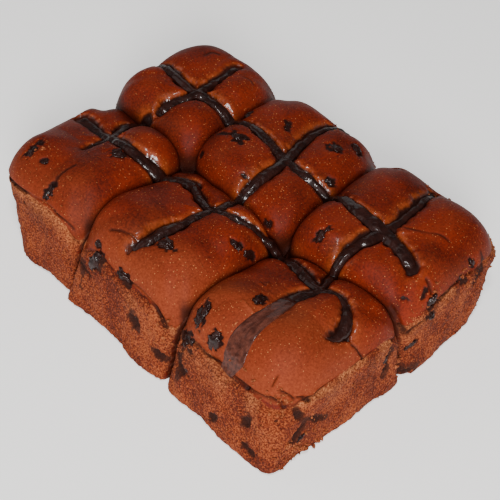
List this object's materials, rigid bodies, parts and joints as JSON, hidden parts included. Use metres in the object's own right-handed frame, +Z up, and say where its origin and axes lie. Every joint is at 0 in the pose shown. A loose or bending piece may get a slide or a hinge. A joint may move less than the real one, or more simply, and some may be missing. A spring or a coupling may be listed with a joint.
{
  "type": "pull-apart batch of chocolate hot cross buns",
  "caption": "Pull-apart batch of soft square chocolate buns that joined in baking, with domed glossy crusts, piped chocolate crosses, torn sides and a flat base to rest on.",
  "frame": {"origin": "centre of the bounding box in plan, at the height of the flat underside", "axes": "+X along the three buns of a row, +Y from the front row to the back row, +Z up"},
  "size_m": [0.227, 0.1728, 0.0576],
  "materials": {
    "crust": "glossy glazed dark reddish-brown chocolate crust above, matt lighter brown torn crumb on the walls",
    "piping": "glossy dark chocolate, lumpy and ridged along its length"
  },
  "bodies": {
    "root": {"bun_back_left": "crust", "bun_back_middle": "crust", "bun_back_right": "crust", "bun_front_left": "crust", "bun_front_middle": "crust", "bun_front_right": "crust", "piped_crosses": "piping"}
  },
  "joints": []
}
